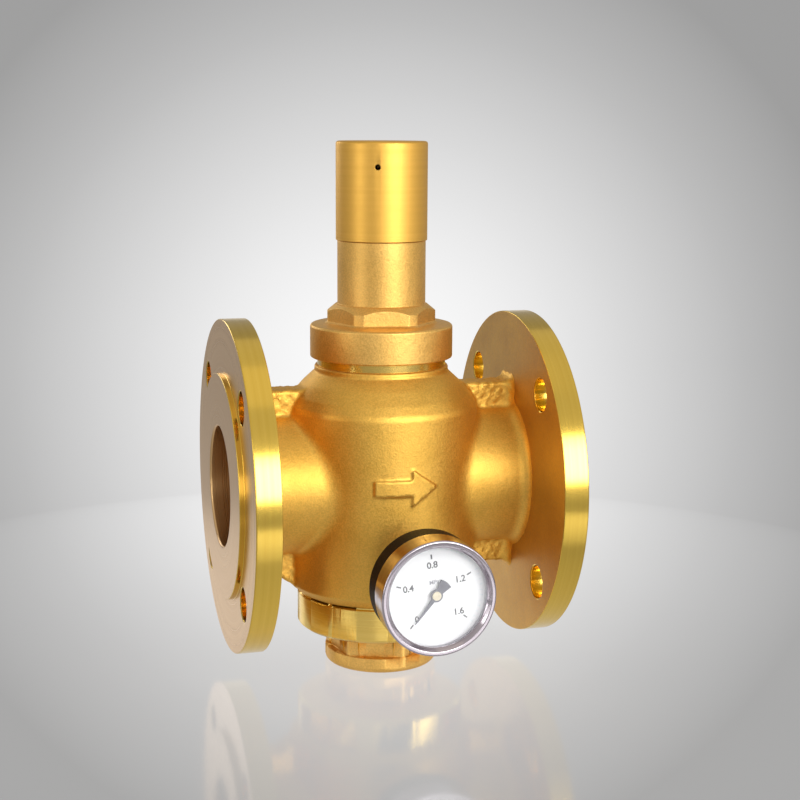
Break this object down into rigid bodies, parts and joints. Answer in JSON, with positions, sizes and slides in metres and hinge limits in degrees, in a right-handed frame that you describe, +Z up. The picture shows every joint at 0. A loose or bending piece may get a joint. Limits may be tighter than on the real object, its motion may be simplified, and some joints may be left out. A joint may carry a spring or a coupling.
{
  "type": "flanged pressure reducing valve",
  "caption": "Brass flanged pressure reducing valve with a spring bonnet, screw cap and dial gauge, which holds the pressure in the pipe after it steady.",
  "frame": {"origin": "centre of the flat base of the bottom cap", "axes": "+Z up the bonnet axis, +X along the pipe towards the outlet, -Y out of the gauge's dial"},
  "size_m": [0.18, 0.202, 0.2878],
  "materials": {
    "cast_brass": "sand-blasted casting, fine grain",
    "turned_brass": "turned bright, low roughness",
    "satin_brass": "turned satin",
    "stainless": "turned",
    "inner_brass": "turned",
    "spring_steel": "dark, oiled",
    "zinc_steel": "zinc plated",
    "black_rubber": "matt",
    "ptfe": "smooth",
    "gauge_brass": "stamped and turned",
    "gauge_black": "black enamel",
    "chrome": "polished plating",
    "glass": "clear",
    "lens_seal": "smooth grey",
    "dial_white": "printed white enamel"
  },
  "bodies": {
    "valve": {"valve_body": "cast_brass", "bonnet": "cast_brass", "bottom_cap": "turned_brass", "seat_ring": "stainless", "silencer_cage": "stainless", "case_screws": "zinc_steel", "bonnet_o_ring": "black_rubber", "bottom_o_ring": "black_rubber", "gallery_o_ring": "black_rubber", "balance_seal": "black_rubber", "gauge_washer": "ptfe", "gauge_socket": "gauge_brass", "bourdon_tube": "gauge_brass", "tube_tip": "gauge_brass", "movement_rear_plate": "gauge_brass", "movement_front_plate": "gauge_brass", "movement_posts": "gauge_brass", "gauge_case": "gauge_black", "bezel": "chrome", "lens": "glass", "lens_gasket": "lens_seal", "dial": "dial_white"},
    "valve_set": {"stem": "stainless", "piston": "inner_brass", "piston_seal": "black_rubber", "piston_guide_ring": "ptfe", "piston_washer": "stainless", "piston_nut": "stainless", "disc_clamp": "stainless", "valve_disc": "black_rubber", "disc_holder": "inner_brass", "balance_piston": "inner_brass", "stem_nut": "stainless"},
    "upper_spring_plate": {"spring_plate": "inner_brass", "spring": "spring_steel"},
    "adjusting_screw": {"adjusting_screw": "zinc_steel"},
    "lock_nut": {"lock_nut": "zinc_steel"},
    "cap_o_ring": {"cap_o_ring": "black_rubber"},
    "cap": {"cap": "satin_brass"},
    "sector": {"sector_gear": "gauge_brass"},
    "link": {"link": "gauge_brass"},
    "pointer": {"pointer": "gauge_black", "pointer_hub": "gauge_brass", "pinion_arbor": "gauge_brass"}
  },
  "joints": [
    {"name": "valve_lift", "type": "slide", "parent": "valve", "child": "valve_set", "axis": [0, 0, 1], "range_m": [0, 0.0079]},
    {"name": "spring_plate_down", "type": "slide", "parent": "valve", "child": "upper_spring_plate", "axis": [0, 0, -1], "range_m": [0, 0.01], "deforming": ["spring"]},
    {"name": "screw_turn", "type": "hinge", "parent": "upper_spring_plate", "child": "adjusting_screw", "pos_m": [0, 0, 0.25], "axis": [0, 0, -1], "range_deg": [0, 2400.1]},
    {"name": "lock_nut_turn", "type": "hinge", "parent": "valve", "child": "lock_nut", "pos_m": [0, 0, 0.256], "axis": [0, 0, 1], "range_deg": [0, 60]},
    {"name": "cap_rise", "type": "slide", "parent": "valve", "child": "cap_o_ring", "axis": [0, 0, 1], "range_m": [0, 0.0165]},
    {"name": "cap_turn", "type": "hinge", "parent": "cap_o_ring", "child": "cap", "pos_m": [0, 0, 0.26], "axis": [0, 0, 1], "range_deg": [0, 3960.1]},
    {"name": "sector_swing", "type": "hinge", "parent": "valve", "child": "sector", "pos_m": [0, -0.0985, 0.056], "axis": [0, -1, 0], "range_deg": [0, 30]},
    {"name": "link_swing", "type": "hinge", "parent": "sector", "child": "link", "pos_m": [0.005, -0.0998, 0.055], "axis": [0, 1, 0], "range_deg": [0, 30]},
    {"name": "pointer_turn", "type": "hinge", "parent": "valve", "child": "pointer", "pos_m": [0, -0.106, 0.067], "axis": [0, 1, 0], "range_deg": [0, 270]}
  ],
  "couplings": [
    {"joint": "screw_turn", "follows": "spring_plate_down", "rad_per_m": 4188.8},
    {"joint": "cap_turn", "follows": "cap_rise", "rad_per_m": 4188.8},
    {"joint": "pointer_turn", "follows": "sector_swing", "ratio": 9},
    {"joint": "link_swing", "follows": "sector_swing", "ratio": 1}
  ]
}
